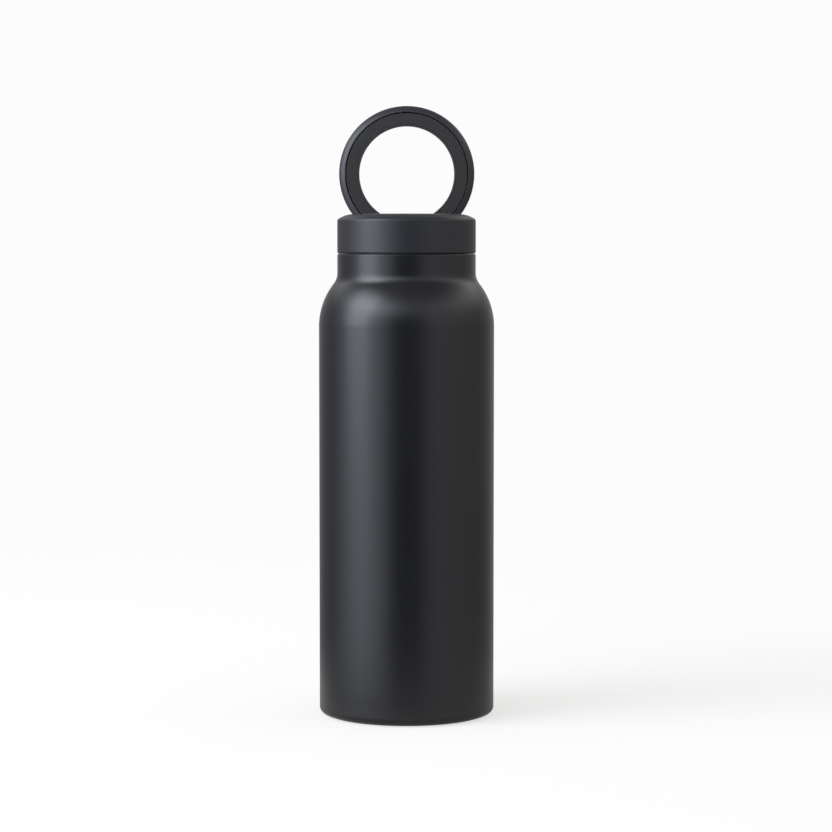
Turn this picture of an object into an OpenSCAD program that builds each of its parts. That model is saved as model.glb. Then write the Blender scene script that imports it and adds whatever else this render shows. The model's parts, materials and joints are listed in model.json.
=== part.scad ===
// Insulated water bottle with a screw lid and a folding magnetic ring.
// Millimetres. Z is up, the bottle stands on z = 0 and its axis is the Z axis.
// The ring stands at the back (+Y) of the lid and folds forward onto it.

/* [Body] */
// Outside diameter of the body
body_d = 76; // [75:0.5:80]
// Height of the mouth rim above the table
rim_h = 200.4; // [170:0.1:260]
// Radius of the convex shoulder
shoulder_r = 30; // [27:0.5:32]
// Radius of the concave sweep from shoulder to neck
neck_sweep_r = 7.6; // [7:0.2:9]
// Length of the straight neck below the rim
neck_h = 8.2; // [6:0.1:9]
// Radius of the corner round the base
base_corner_r = 2.7; // [1.5:0.1:3]
// Thickness of the outer steel wall
wall_t = 0.6; // [0.5:0.05:0.8]
// Thickness of the inner steel wall
flask_t = 0.5; // [0.4:0.05:0.7]
// Vacuum gap between the straight walls
vacuum_gap = 2.8; // [2:0.1:3.2]

/* [Lid] */
// Outside diameter of the lid, the neck and the ring
lid_d = 60; // [60:0.1:61]
// Height of the lid
lid_h = 16.5; // [16.5:0.1:18]
// Open seam between the lid and the rim
seam_gap = 0.7; // [0.6:0.05:1]
// Diameter of the flat top inside the crowned edge
crown_flat_d = 49; // [46:0.1:50]
// Drop of the crowned edge
crown_drop = 1.95; // [1.5:0.05:2.2]
// Thickness of the lid's top and walls
lid_wall_t = 1.5; // [1.4:0.05:1.6]

/* [Thread] */
// Rise of the lid in one full turn
thread_lead = 8; // [7.6:0.1:8.4]
// Turns that each thread rib makes
thread_turns = 1; // [0.75:0.05:1]
// Clearance between the ribs of lid and neck
thread_gap = 0.3; // [0.25:0.05:0.4]
// Diameter of the mouth
mouth_d = 53; // [52.6:0.1:53]

/* [Ring] */
// Thickness of the ring
ring_t = 6; // [5.8:0.1:6.2]
// Diameter of the hole through the ring
ring_hole_d = 42.3; // [41.5:0.1:42.5]
// Height of the ring's centre above the lid
ring_rise = 18; // [17.8:0.1:18.2]
// Clearance between the folded ring and the lid
fold_gap = 0.25; // [0.2:0.05:0.3]
// Number of magnets in the ring
magnet_count = 16; // [12:2:20]
// Sector at the ring's foot that is left solid for the hinge, in degrees
foot_sector = 40; // [40:1:44]

/* [Hidden] */
$fn = 128;
eps = 0.05;

// Body
body_r = body_d / 2;
lid_r = lid_d / 2;
base_lift = 0.4;
base_seam_z = base_lift + base_corner_r + 0.5;
lip_r = 28;
rim_round_r = 0.5;

// Base
pad_r = 34.9;
pad_t = 1.2;
pad_clear = 0.05;
dimple_r = 7;
dimple_h = 2.2;
port_r = 1.2;

// Inner flask
flask_r = body_r - wall_t - vacuum_gap;
mouth_r = mouth_d / 2;
flask_floor_z = 6;
flask_corner_r = 8;
flask_shoulder_r = 20;
flask_sweep_r = 6;
flask_neck_h = 18.5;
foil_t = 0.15;
foil_clear = 0.05;
foil_low_z = 16;
foil_high_z = rim_h - 42;
getter_r = 5;
getter_t = 2;
getter_x = 18;
clip_t = 0.35;
clip_w = 3;

// Thread
thread_starts = 2;
thread_pitch = thread_lead / thread_starts;
thread_depth = 0.8;
thread_taper = 0.3;
thread_steps = 60;
thread_ramp = 5;
plug_r = mouth_r - thread_depth - 2 * thread_gap;
neck_thread_z = rim_h - 15.2;

// Lid
lid_bottom = rim_h + seam_gap;
lid_top = lid_bottom + lid_h;
skirt_t = 2;
skirt_lip_t = 1.65;
skirt_lip_low_z = rim_h + 0.1;
crown_edge = 0.6;
lid_top_t = 2.4;

// Ring
ring_r = lid_r;
ring_hole_r = ring_hole_d / 2;
bull_r = ring_t / 2;
ring_y = lid_r - bull_r;
ring_z = lid_top + ring_rise;
rim_strip_w = 0.85;
cover_t = 1.65;
magnet_t = 2;
magnet_w = 4;
magnet_gap_deg = 1.2;
yoke_t = 0.8;
grip_t = 0.6;
grip_w = 4.7;
channel_in_r = ring_hole_r + rim_strip_w + 0.7;
channel_out_r = ring_r - bull_r + 0.1;
channel_floor = bull_r - grip_t - 0.9;
piece_clear = 0.05;
c_angle = 360 - foot_sector;
c_start = -90 + foot_sector / 2;

// Hinge: its axis lies where the ring stands upright and folds down concentric with the lid
hinge_dz = (ring_rise + bull_r + fold_gap - ring_y) / 2;
hinge_y = ring_rise - hinge_dz;
hinge_z = lid_top + hinge_dz;
face_offset = ring_y - bull_r - hinge_y;
edge_r = face_offset - 0.175;
rear_y = hinge_y + face_offset - fold_gap;
scoop_r = ring_r + 0.4;
pin_r = 1.25;
pin_half = 11.8;
barrel_r = 2.6;
barrel_half = 6.4;
slot_half = 7;
slot_drop = 5.6;
washer_t = 0.5;
washer_r = 2.4;
bush_r = 2;
ear_r = edge_r - 0.1;
bracket_half = 12;
bracket_front_y = hinge_y - 3.025;
bracket_rear_y = rear_y - 0.05;
bracket_floor_z = lid_top - 12.1;
bracket_clear = 0.1;
bracket_screw_x = 9.5;
bracket_screw_y = hinge_y - 0.3;

// Plug
flange_t = 2.4;
flange_z = lid_bottom + 0.2;
flange_r = lid_r - skirt_t - 0.3;
plug_wall_t = 1.8;
plug_bottom_z = rim_h - 18.9;
liner_t = 0.8;
liner_spigot_h = 1.8;
screw_head_h = 1.6;
screw_head_r = 2.2;
screw_r = 1;
screw_circle_r = 18;
screw_angles = [30, 150, 270];
screw_len = 9;
foam_gap = 2.2;
groove_low_z = rim_h - 4.2;
groove_high_z = rim_h - 0.8;
groove_r = mouth_r - 2.3;
gasket_clear = 0.1;
gasket_seal_clear = 0.05;

// Colours
coat = [0.17, 0.175, 0.19];
soft_black = [0.12, 0.12, 0.13];
steel = [0.72, 0.72, 0.74];
copper = [0.8, 0.45, 0.3];

// ---------- Shared shapes ----------

// Half section of a solid bottle form: round corner, straight wall, convex shoulder, concave
// sweep and straight neck. The sweep's centre is at neck_z. inset moves every face inward.
module bottle_section(body, neck, shoulder, sweep, neck_z, floor_z, corner, top_z, inset = 0) {
    rise = sqrt(pow(shoulder + sweep, 2) - pow(neck + sweep - body + shoulder, 2));
    shoulder_z = neck_z - rise;
    meet = (shoulder - inset) / (shoulder + sweep);
    meet_r = body - shoulder + meet * (neck + sweep - body + shoulder);
    difference() {
        union() {
            translate([0, floor_z + inset])
                square([body - corner, shoulder_z - floor_z - inset]);
            translate([body - corner, floor_z + corner])
                circle(r = corner - inset);
            translate([0, floor_z + corner])
                square([body - inset, shoulder_z - floor_z - corner]);
            intersection() {
                translate([body - shoulder, shoulder_z])
                    circle(r = shoulder - inset);
                translate([0, floor_z + corner])
                    square([body, top_z]);
            }
            translate([0, shoulder_z])
                square([meet_r, neck_z - shoulder_z]);
            translate([0, shoulder_z])
                square([neck - inset, top_z - shoulder_z]);
        }
        translate([neck + sweep, neck_z])
            circle(r = sweep + inset);
    }
}

module outer_section(inset, top_z) {
    bottle_section(body_r, lid_r, shoulder_r, neck_sweep_r, rim_h - neck_h, base_lift,
        base_corner_r, top_z, inset);
}

module flask_section(inset, top_z) {
    bottle_section(flask_r, mouth_r + flask_t, flask_shoulder_r, flask_sweep_r,
        rim_h - flask_neck_h, flask_floor_z, flask_corner_r, top_z, inset);
}

// Sliver outside a round of radius r in a corner that points along +X and +Y
module corner_sliver(r) {
    difference() {
        square([r + eps, r + eps]);
        circle(r = r);
    }
}

// One helical rib. buried_r lies inside the wall it stands on, tip_r is its crest, and
// hidden_r is where the crest starts and ends, just below the wall's surface.
module thread_rib(buried_r, tip_r, hidden_r, buried_half, tip_half, low_z, phase) {
    count = ceil(thread_turns * thread_steps);
    outward = tip_r > buried_r;
    points = [
        for (i = [0 : count])
            let (
                angle = phase + 360 * thread_turns * i / count,
                z = low_z + thread_lead * thread_turns * i / count,
                height = min(1, i / thread_ramp, (count - i) / thread_ramp),
                crest = hidden_r + (tip_r - hidden_r) * height
            )
            for (p = [
                [buried_r, -buried_half], [crest, -tip_half],
                [crest, tip_half], [buried_r, buried_half]
            ])
                [p[0] * cos(angle), p[0] * sin(angle), z + p[1]]
    ];
    sides = [
        for (i = [0 : count - 1], k = [0 : 3])
            let (a = 4 * i + k, b = 4 * i + (k + 1) % 4)
            for (f = [[a, b, b + 4], [a, b + 4, a + 4]]) f
    ];
    ends = [[3, 2, 1, 0], [for (k = [0 : 3]) 4 * count + k]];
    faces = concat(sides, ends);
    polyhedron(points, outward ? faces : [for (f = faces) [for (k = [len(f) - 1 : -1 : 0]) f[k]]]);
}

// Every start of a thread. half is the rib's half width at mid height.
module thread(buried_r, tip_r, hidden_r, low_z) {
    half = (thread_pitch / 2 - thread_gap) / 2;
    for (start = [0 : thread_starts - 1])
        thread_rib(buried_r, tip_r, hidden_r, half + thread_taper, half - thread_taper / 2,
            low_z, 360 * start / thread_starts);
}

// A solid of the given side profile (drawn as Y, Z) from -half to +half along X
module along_x(half) {
    rotate([90, 0, 90])
        translate([0, 0, -half])
            linear_extrude(2 * half)
                children();
}

// A round bar or bore along X, centred on the hinge axis
module hinge_rod(r, from_x, to_x) {
    translate([from_x, hinge_y, hinge_z])
        rotate([0, 90, 0])
            cylinder(r = r, h = to_x - from_x);
}

// Turns a ring drawn round Z into the upright ring: its +Z side becomes the back
module in_ring() {
    translate([0, ring_y, ring_z])
        rotate([-90, 0, 0])
            mirror([0, 1, 0])
                children();
}

module annulus(in_r, out_r, low, high) {
    translate([in_r, low])
        square([out_r - in_r, high - low]);
}

module c_ring(start, angle) {
    rotate([0, 0, start])
        rotate_extrude(angle = angle)
            children();
}

// Pan-head screw with its head's underside on z = 0 and its shank upward
module pan_screw(length) {
    translate([0, 0, -screw_head_h])
        difference() {
            union() {
                cylinder(r = screw_head_r, h = screw_head_h);
                cylinder(r = screw_r, h = screw_head_h + length);
            }
            translate([0, 0, -eps])
                cylinder(r = 0.9, h = 0.8 + eps, $fn = 6);
        }
}

module at_plug_screws() {
    for (a = screw_angles)
        rotate([0, 0, a])
            translate([screw_circle_r, 0, 0])
                children();
}

module at_bracket_screws() {
    for (side = [-1, 1])
        translate([side * bracket_screw_x, bracket_screw_y, 0])
            children();
}

// ---------- Bottle ----------

module outer_shell() {
    color(coat)
    rotate_extrude()
        difference() {
            outer_section(0, rim_h);
            outer_section(wall_t, rim_h - wall_t);
            square([body_r, base_seam_z]);
            translate([0, rim_h - 1])
                square([lip_r, 2]);
            translate([lid_r - rim_round_r, rim_h - rim_round_r])
                corner_sliver(rim_round_r);
        }
}

module outer_base() {
    plate_z = pad_t + pad_clear;
    step_r = pad_r + pad_clear;
    color(coat)
    rotate_extrude()
        difference() {
            union() {
                intersection() {
                    difference() {
                        outer_section(0, rim_h);
                        outer_section(wall_t, rim_h);
                    }
                    translate([step_r, 0])
                        square([body_r, base_seam_z]);
                }
                annulus(step_r, step_r + wall_t, base_lift, plate_z + wall_t);
                annulus(0, step_r + wall_t, plate_z, plate_z + wall_t);
                annulus(0, dimple_r + wall_t, plate_z, plate_z + dimple_h + wall_t);
            }
            translate([0, plate_z - 1])
                square([dimple_r, dimple_h + 1]);
            square([port_r, plate_z + dimple_h + 2]);
        }
}

module base_pad() {
    groove_count = 4;
    groove_step = 6;
    color(soft_black)
    rotate_extrude()
        difference() {
            square([pad_r, pad_t]);
            for (i = [1 : groove_count])
                translate([8 + groove_step * i - 0.5, -eps])
                    square([1, 0.3 + eps]);
        }
}

module inner_flask() {
    color(steel)
    union() {
        rotate_extrude()
            difference() {
                union() {
                    flask_section(0, rim_h);
                    annulus(mouth_r, lip_r - 0.02, rim_h - wall_t, rim_h);
                }
                flask_section(flask_t, rim_h + 1);
                translate([mouth_r + rim_round_r, rim_h - rim_round_r])
                    mirror([1, 0])
                        corner_sliver(rim_round_r);
            }
        thread(mouth_r + flask_t / 2, mouth_r - thread_depth - thread_gap, mouth_r + 0.1,
            neck_thread_z);
    }
}

module copper_foil() {
    color(copper)
    rotate_extrude()
        annulus(flask_r + foil_clear, flask_r + foil_clear + foil_t, foil_low_z, foil_high_z);
}

module getter() {
    color([0.35, 0.35, 0.37])
    translate([getter_x, 0, flask_floor_z - getter_t - 0.05])
        cylinder(r = getter_r, h = getter_t);
}

module getter_clip() {
    inside_half = getter_r + 0.1;
    drop = getter_t + 0.1;
    color(steel)
    translate([getter_x, 0, flask_floor_z])
        rotate([90, 0, 0])
            translate([0, 0, -clip_w / 2])
                linear_extrude(clip_w) {
                    translate([-inside_half - clip_t, -drop - clip_t])
                        square([2 * (inside_half + clip_t), clip_t]);
                    for (side = [0, 1])
                        mirror([side, 0]) {
                            translate([inside_half, -drop - clip_t])
                                square([clip_t, drop + clip_t]);
                            translate([inside_half, -clip_t])
                                square([2.5, clip_t]);
                        }
                }
}

module port_seal() {
    ceiling_z = pad_t + pad_clear + dimple_h;
    color([0.6, 0.6, 0.58])
    rotate_extrude() {
        annulus(0, 2 * port_r, ceiling_z - 1, ceiling_z);
        annulus(0, port_r - 0.02, ceiling_z - 1, ceiling_z + wall_t);
    }
}

// ---------- Seal ----------

module mouth_gasket() {
    low = groove_low_z + gasket_clear;
    high = groove_high_z - gasket_clear;
    lip_tip_r = mouth_r - gasket_seal_clear;
    root_r = mouth_r - 1.1;
    color([0.2, 0.2, 0.21])
    rotate_extrude() {
        annulus(groove_r + gasket_clear, root_r, low, high);
        for (z = [low + 0.5, high - 1.1])
            polygon([
                [root_r - eps, z - 0.4], [lip_tip_r, z + 0.1],
                [lip_tip_r, z + 0.5], [root_r - eps, z + 0.5]
            ]);
    }
}

// ---------- Lid ----------

// The skirt's inner lip nearly reaches the rim, so that the seam is a groove and not a gap
module lid_outline() {
    seam_r = lid_r - skirt_t + skirt_lip_t;
    polygon([
        [0, skirt_lip_low_z], [0, lid_top], [crown_flat_d / 2, lid_top],
        [lid_r - crown_edge, lid_top - crown_drop],
        [lid_r, lid_top - crown_drop - crown_edge], [lid_r, lid_bottom],
        [seam_r, lid_bottom], [seam_r, skirt_lip_low_z]
    ]);
}

module lid_hollow_outline() {
    inside_r = lid_r - skirt_t;
    polygon([
        [0, lid_bottom - 1], [0, lid_top - lid_top_t], [crown_flat_d / 2, lid_top - lid_top_t],
        [inside_r, lid_top - lid_top_t - crown_drop], [inside_r, lid_bottom - 1]
    ]);
}

// Room for the foot of the upright ring, grown on all sides by grow
module ring_scoop(grow) {
    translate([0, rear_y - grow, ring_z])
        rotate([-90, 0, 0])
            cylinder(r = scoop_r + grow, h = lid_r);
}

// Everything above and behind the rounded rear edge, which is centred on the hinge axis
module rear_edge_cut() {
    along_x(lid_r + 1)
        difference() {
            translate([hinge_y, hinge_z])
                square([lid_r, 10]);
            translate([hinge_y, hinge_z])
                circle(r = edge_r);
        }
}

module bracket_pocket(grow) {
    half = bracket_half + bracket_clear + grow;
    front = bracket_front_y - bracket_clear - grow;
    low = bracket_floor_z - bracket_clear - grow;
    translate([-half, front, low])
        cube([2 * half, rear_y + eps + grow - front, lid_top - low + 1]);
}

module lid_hollow() {
    difference() {
        rotate_extrude()
            lid_hollow_outline();
        ring_scoop(lid_wall_t);
        bracket_pocket(lid_wall_t);
        translate([-lid_r, hinge_y - 2.4, hinge_z - lid_wall_t])
            cube([2 * lid_r, lid_r, 10]);
    }
}

module lid_shell() {
    color(coat)
    difference() {
        union() {
            difference() {
                rotate_extrude()
                    lid_outline();
                lid_hollow();
            }
            at_plug_screws()
                translate([0, 0, flange_z + flange_t + 0.1])
                    cylinder(r = 3, h = lid_top - lid_top_t - flange_z - flange_t);
        }
        ring_scoop(0);
        rear_edge_cut();
        bracket_pocket(0);
        at_plug_screws()
            translate([0, 0, flange_z])
                cylinder(r = screw_r + 0.02, h = screw_len + 0.5);
        at_bracket_screws()
            translate([0, 0, bracket_floor_z - 3])
                cylinder(r = screw_r + 0.2, h = 4);
    }
}

module plug_body() {
    top_z = flange_z + flange_t;
    inside_r = plug_r - plug_wall_t;
    color(soft_black)
    difference() {
        union() {
            rotate_extrude()
                difference() {
                    union() {
                        annulus(0, flange_r, flange_z, top_z);
                        annulus(0, plug_r, plug_bottom_z, flange_z + eps);
                    }
                    annulus(0, inside_r, plug_bottom_z - 1, flange_z);
                    annulus(groove_r, mouth_r, groove_low_z, groove_high_z);
                }
            thread(plug_r - 0.4, plug_r + thread_depth + thread_gap, plug_r - 0.1,
                neck_thread_z - thread_pitch / 2);
        }
        at_plug_screws()
            translate([0, 0, flange_z - 1])
                cylinder(r = screw_r + 0.2, h = flange_t + 2);
        at_bracket_screws()
            translate([0, 0, top_z - 1.8])
                cylinder(r = screw_head_r + 0.3, h = 3);
    }
}

module plug_foam() {
    color([0.85, 0.83, 0.75])
    translate([0, 0, plug_bottom_z + liner_spigot_h + 0.2])
        cylinder(r = plug_r - plug_wall_t - 0.1,
            h = flange_z - foam_gap - plug_bottom_z - liner_spigot_h - 0.2);
}

module plug_liner() {
    spigot_r = plug_r - plug_wall_t - 0.05;
    color(steel)
    rotate_extrude() {
        annulus(0, plug_r - 0.1, plug_bottom_z - liner_t, plug_bottom_z - 0.02);
        annulus(spigot_r - 1.2, spigot_r, plug_bottom_z - liner_t, plug_bottom_z + liner_spigot_h);
    }
}

module plug_screws() {
    color(steel)
    at_plug_screws()
        translate([0, 0, flange_z])
            pan_screw(screw_len);
}

// ---------- Ring hinge ----------

module bracket_profile() {
    translate([bracket_front_y, bracket_floor_z])
        square([bracket_rear_y - bracket_front_y, hinge_z - bracket_floor_z]);
    translate([bracket_front_y, hinge_z - eps])
        square([hinge_y - bracket_front_y, ear_r + eps]);
    translate([hinge_y, hinge_z])
        circle(r = ear_r);
}

module hinge_bracket() {
    color([0.25, 0.25, 0.27])
    difference() {
        along_x(bracket_half)
            bracket_profile();
        along_x(slot_half) {
            translate([hinge_y, hinge_z])
                circle(r = barrel_r + 0.3);
            translate([hinge_y, hinge_z - slot_drop])
                square([10, slot_drop + 10]);
        }
        hinge_rod(bush_r + 0.01, -bracket_half - 1, bracket_half + 1);
        at_bracket_screws()
            translate([0, 0, bracket_floor_z - 1])
                cylinder(r = screw_r + 0.02, h = 6);
    }
}

module bracket_screws() {
    color(steel)
    at_bracket_screws()
        translate([0, 0, bracket_floor_z - bracket_clear - lid_wall_t])
            pan_screw(lid_wall_t + 4.5);
}

module hinge_bushes() {
    color([0.75, 0.6, 0.35])
    for (side = [0, 1])
        mirror([side, 0, 0])
            difference() {
                hinge_rod(bush_r, slot_half + 0.05, bracket_half - 0.1);
                hinge_rod(pin_r + 0.03, slot_half - 1, bracket_half + 1);
            }
}

module friction_washers() {
    color(steel)
    for (side = [0, 1])
        mirror([side, 0, 0])
            difference() {
                hinge_rod(washer_r, barrel_half + 0.05, barrel_half + 0.05 + washer_t);
                hinge_rod(pin_r + 0.05, barrel_half - 1, slot_half + 1);
            }
}

module hinge_pin() {
    color(steel)
    hinge_rod(pin_r, -pin_half, pin_half);
}

// ---------- Ring ----------

module ring_frame() {
    face = ring_y - bull_r;
    color(coat)
    difference() {
        union() {
            in_ring()
                difference() {
                    rotate_extrude()
                        difference() {
                            union() {
                                annulus(ring_hole_r, ring_r - bull_r, -bull_r, bull_r);
                                translate([ring_r - bull_r, 0])
                                    circle(r = bull_r);
                            }
                            annulus(ring_r - bull_r - grip_w - piece_clear,
                                ring_r - bull_r + piece_clear, bull_r - grip_t, bull_r + 1);
                        }
                    c_ring(c_start, c_angle) {
                        annulus(ring_hole_r + rim_strip_w, channel_out_r,
                            -bull_r - 1, -bull_r + cover_t);
                        annulus(channel_in_r, channel_out_r, -bull_r, channel_floor);
                    }
                }
            along_x(barrel_half) {
                translate([hinge_y, hinge_z])
                    circle(r = barrel_r);
                polygon([
                    [hinge_y, hinge_z - barrel_r], [face + 0.5, hinge_z - barrel_r - 2.4],
                    [face + 0.5, hinge_z - 0.6], [hinge_y, hinge_z + 1]
                ]);
            }
        }
        hinge_rod(pin_r + 0.01, -barrel_half - 1, barrel_half + 1);
    }
}

module ring_cover() {
    color(soft_black)
    in_ring()
        c_ring(c_start + 0.15, c_angle - 0.3)
            annulus(ring_hole_r + rim_strip_w + piece_clear, channel_out_r - piece_clear,
                -bull_r, -bull_r + cover_t - piece_clear);
}

module ring_magnets() {
    step = c_angle / magnet_count;
    middle_r = (channel_in_r + channel_out_r) / 2;
    color([0.6, 0.6, 0.62])
    in_ring()
        for (i = [0 : magnet_count - 1])
            c_ring(c_start + i * step + magnet_gap_deg / 2, step - magnet_gap_deg)
                annulus(middle_r - magnet_w / 2, middle_r + magnet_w / 2,
                    channel_floor - magnet_t - piece_clear, channel_floor - piece_clear);
}

module ring_yoke() {
    high = channel_floor - magnet_t - 2 * piece_clear;
    middle_r = (channel_in_r + channel_out_r) / 2;
    color(steel)
    in_ring()
        c_ring(c_start + 0.5, c_angle - 1)
            annulus(middle_r - magnet_w / 2, middle_r + magnet_w / 2, high - yoke_t, high);
}

module grip_pad() {
    color(soft_black)
    in_ring()
        rotate_extrude()
            annulus(ring_r - bull_r - grip_w, ring_r - bull_r, bull_r - grip_t + 0.02, bull_r);
}

outer_shell();
outer_base();
base_pad();
inner_flask();
copper_foil();
getter();
getter_clip();
port_seal();
mouth_gasket();
lid_shell();
plug_body();
plug_foam();
plug_liner();
plug_screws();
hinge_bracket();
bracket_screws();
hinge_bushes();
friction_washers();
hinge_pin();
ring_frame();
ring_cover();
ring_magnets();
ring_yoke();
grip_pad();
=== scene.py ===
import json
import math

import bmesh
import bpy
import numpy as np
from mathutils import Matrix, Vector


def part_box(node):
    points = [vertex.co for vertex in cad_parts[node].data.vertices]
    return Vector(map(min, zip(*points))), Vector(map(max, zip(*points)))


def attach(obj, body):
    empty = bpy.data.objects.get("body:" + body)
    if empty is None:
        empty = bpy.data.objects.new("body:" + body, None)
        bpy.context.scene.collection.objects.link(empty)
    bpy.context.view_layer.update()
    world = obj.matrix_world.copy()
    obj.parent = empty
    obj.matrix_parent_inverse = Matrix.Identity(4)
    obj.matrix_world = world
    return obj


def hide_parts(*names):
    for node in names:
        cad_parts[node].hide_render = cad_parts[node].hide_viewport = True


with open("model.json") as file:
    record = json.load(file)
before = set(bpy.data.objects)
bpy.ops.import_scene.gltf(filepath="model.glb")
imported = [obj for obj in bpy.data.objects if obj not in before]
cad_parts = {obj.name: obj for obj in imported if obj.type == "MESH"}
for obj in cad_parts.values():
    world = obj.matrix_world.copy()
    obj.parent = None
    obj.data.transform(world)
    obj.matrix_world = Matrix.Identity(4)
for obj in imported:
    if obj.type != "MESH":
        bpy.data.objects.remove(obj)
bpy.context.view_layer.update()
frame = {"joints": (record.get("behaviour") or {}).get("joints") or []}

# Shapes are worked out in millimetres and become metres when their mesh is made.
MM = 0.001
# Longest edge round a large radius, and the widest turn of one edge round a small one
ARC_EDGE = 0.8
ARC_STEP = math.radians(12)
# Faces that turn by more than this meet in a sharp edge
SHARP_TURN = math.radians(50)
# Cell of the nets that cover the rounded solids
CELL = 0.35


# ---------------------------------------------------------------- sizes

def span(node):
    """Lowest and highest corner of a CAD node, in millimetres."""
    low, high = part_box(node)
    return np.array(low) / MM, np.array(high) / MM


joint_at = {j["name"]: np.array(j.get("pos_m", (0, 0, 0))) / MM for j in frame["joints"]}

# Bottle
BODY_R = span("outer_shell")[1][0]
RIM_Z = span("outer_shell")[1][2]
SEAM_Z = span("outer_shell")[0][2]
BASE_LIFT = span("outer_base")[0][2]
SHOULDER_R = 30.0
NECK_SWEEP_R = 7.6
NECK_H = 8.2
WALL_T = 0.6
BASE_CORNER_R = 2.7
RIM_ROUND_R = 0.6
LIP_R = 28.0
PAD_R = span("base_pad")[1][0]
PAD_T = span("base_pad")[1][2]
FLASK_R = span("inner_flask")[1][0]
FLASK_FLOOR_Z = span("inner_flask")[0][2]
FLASK_T = 0.5
FLASK_CORNER_R = 8.0
FLASK_SHOULDER_R = 20.0
FLASK_SWEEP_R = 6.0
FLASK_NECK_H = 18.5
MOUTH_R = span("mouth_gasket")[1][0] + 0.05

# Lid
LID_LOW = RIM_Z + 0.5
LID_TOP = span("lid_shell")[1][2]
LID_R = span("lid_shell")[1][0]
CROWN_FLAT_R = 24.5
CROWN_DROP = 1.95
CROWN_EDGE = 0.6
# How far the crown bulges over a straight cone
CROWN_BULGE = 0.18
SKIRT_T = 2.0
SKIRT_LIP_T = 1.65
TOP_T = 2.4
LID_WALL_T = 1.5
SCREW_CIRCLE_R = 18.0
SCREW_ANGLES = [math.radians(a) for a in (30, 150, 270)]
SCREW_SPOTS = [(SCREW_CIRCLE_R * math.cos(a), SCREW_CIRCLE_R * math.sin(a)) for a in SCREW_ANGLES]

# Thread
THREAD_LEAD = 8.0
THREAD_PITCH = 4.0
THREAD_GAP = 0.3
THREAD_DEPTH = 0.8
THREAD_LOW_Z = RIM_Z - 15.2
THREAD_ROW = 0.3

# Ring: u is the distance from the ring's centre, v the distance behind its middle plane
RING_R = span("ring_frame")[1][0]
RING_BULL_R = (span("ring_frame")[1][1] - span("ring_cover")[0][1]) / 2
RING_Y = span("ring_frame")[1][1] - RING_BULL_R
RING_Z = span("ring_frame")[1][2] - RING_R
RING_HOLE_R = 21.0
# The ring's front and back edges are arcs that leave its flat faces at a slight angle
RING_ARC_FROM = 26.5
RING_ARC_R = 4.3
RING_ARC_TILT = math.radians(8)
RIM_STRIP_W = 0.85
COVER_T = 1.65
COVER_OUT_R = RING_ARC_FROM - 0.03
GRIP_T = 0.6
GRIP_W = 4.7
MAGNET_COUNT = 16
MAGNET_T = 2.0
MAGNET_W = 4.0
YOKE_T = 0.78
CHANNEL_IN_R = RING_HOLE_R + RIM_STRIP_W + 0.7
CHANNEL_OUT_R = RING_R - RING_BULL_R + 0.1
CHANNEL_MID_R = (CHANNEL_IN_R + CHANNEL_OUT_R) / 2
CHANNEL_FLOOR = RING_BULL_R - GRIP_T - 0.9
FOOT_HALF = math.radians(20)
C_START = -70
C_SWEEP = 320

# Hinge
HINGE_Y, HINGE_Z = joint_at["ring_fold"][1], joint_at["ring_fold"][2]
REAR_Y = RING_Y - RING_BULL_R - 0.25
EDGE_R = RING_Y - RING_BULL_R - HINGE_Y - 0.175
SCOOP_R = RING_R + 0.4
BRACKET_HALF = span("hinge_bracket")[1][0]
BRACKET_LOW = span("hinge_bracket")[0][2]
BRACKET_FRONT = span("hinge_bracket")[0][1]
BRACKET_REAR = span("hinge_bracket")[1][1]
BRACKET_SPOTS = [(side * 9.5, HINGE_Y - 0.3) for side in (-1, 1)]
SLOT_HALF = 7.0
SLOT_DROP = 5.6
EAR_R = EDGE_R - 0.1
LUG_HALF = 6.4
BARREL_R = 2.6
BUSH_R = 2.0
WASHER_R = 2.4
PIN_R = 1.25

# Plug
PLUG_R = MOUTH_R - THREAD_DEPTH - 2 * THREAD_GAP
PLUG_WALL_T = 1.8
PLUG_LOW = span("plug_body")[0][2]
FLANGE_TOP = span("plug_body")[1][2]
FLANGE_R = span("plug_body")[1][0]
FLANGE_T = 2.4
GROOVE_R = MOUTH_R - 2.3
GROOVE_LOW = RIM_Z - 4.2
GROOVE_HIGH = RIM_Z - 0.8

# Looks
BODY_TONE = 0.008
LID_TONE = 0.016
RING_TONE = 0.025
BODY_GLOSS = 0.30
LID_GLOSS = 0.43
MATT = 0.72
BACKDROP = 0.972
FLOOR_Z = -0.0002
FLOOR_ALBEDO = 0.36
FLOOR_GLOW = 0.645
FLOOR_BOUNCE = 0.22
FLOOR_WARMTH = 0.045
# Where the near floor gives way to the far floor, for the camera and for light and reflections
EYE_FADE = (0.25, 0.9)
ROOM_FADE = (0.06, 0.25)
# The camera's place in metres, its tilt down in degrees, its sensor in millimetres,
# and the width in metres that it frames at the bottle's axis
CAMERA_X = 0.0041
CAMERA_AWAY = 1.17
CAMERA_Z = 0.2045
CAMERA_TILT = 3.645
SENSOR_W = 36
FRAME_W = 0.361268
# The room by azimuth: degrees, brightness, blueness. 0 is behind the camera, 90 is to its right.
ROOM_SIDES = [
    (-180, 0.6, 0), (-140, 0.3, 0), (-110, 0.28, 0.04), (-85, 1.2, 0.08), (-60, 2.4, 0.08),
    (-35, 1.5, 0.08), (-15, 0, 0.08), (15, 0.14, 0.08), (35, 0.84, 0.04), (60, 0.74, 0.02),
    (85, 0.6, 0), (110, 0.36, -0.02), (140, 0.4, 0), (180, 0.6, 0),
]
ROOM_TOP = [
    (-180, 0.6, 0), (-140, 1.4, 0.04), (-110, 1.0, 0.06), (-75, 4.2, 0.08), (-50, 5.4, 0.08),
    (-25, 2.8, 0.08), (0, 0.9, 0.06), (50, 1.15, 0.03), (90, 1.5, 0), (140, 1.5, 0), (180, 0.6, 0),
]
ROOM_ZENITH = 0.28
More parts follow.
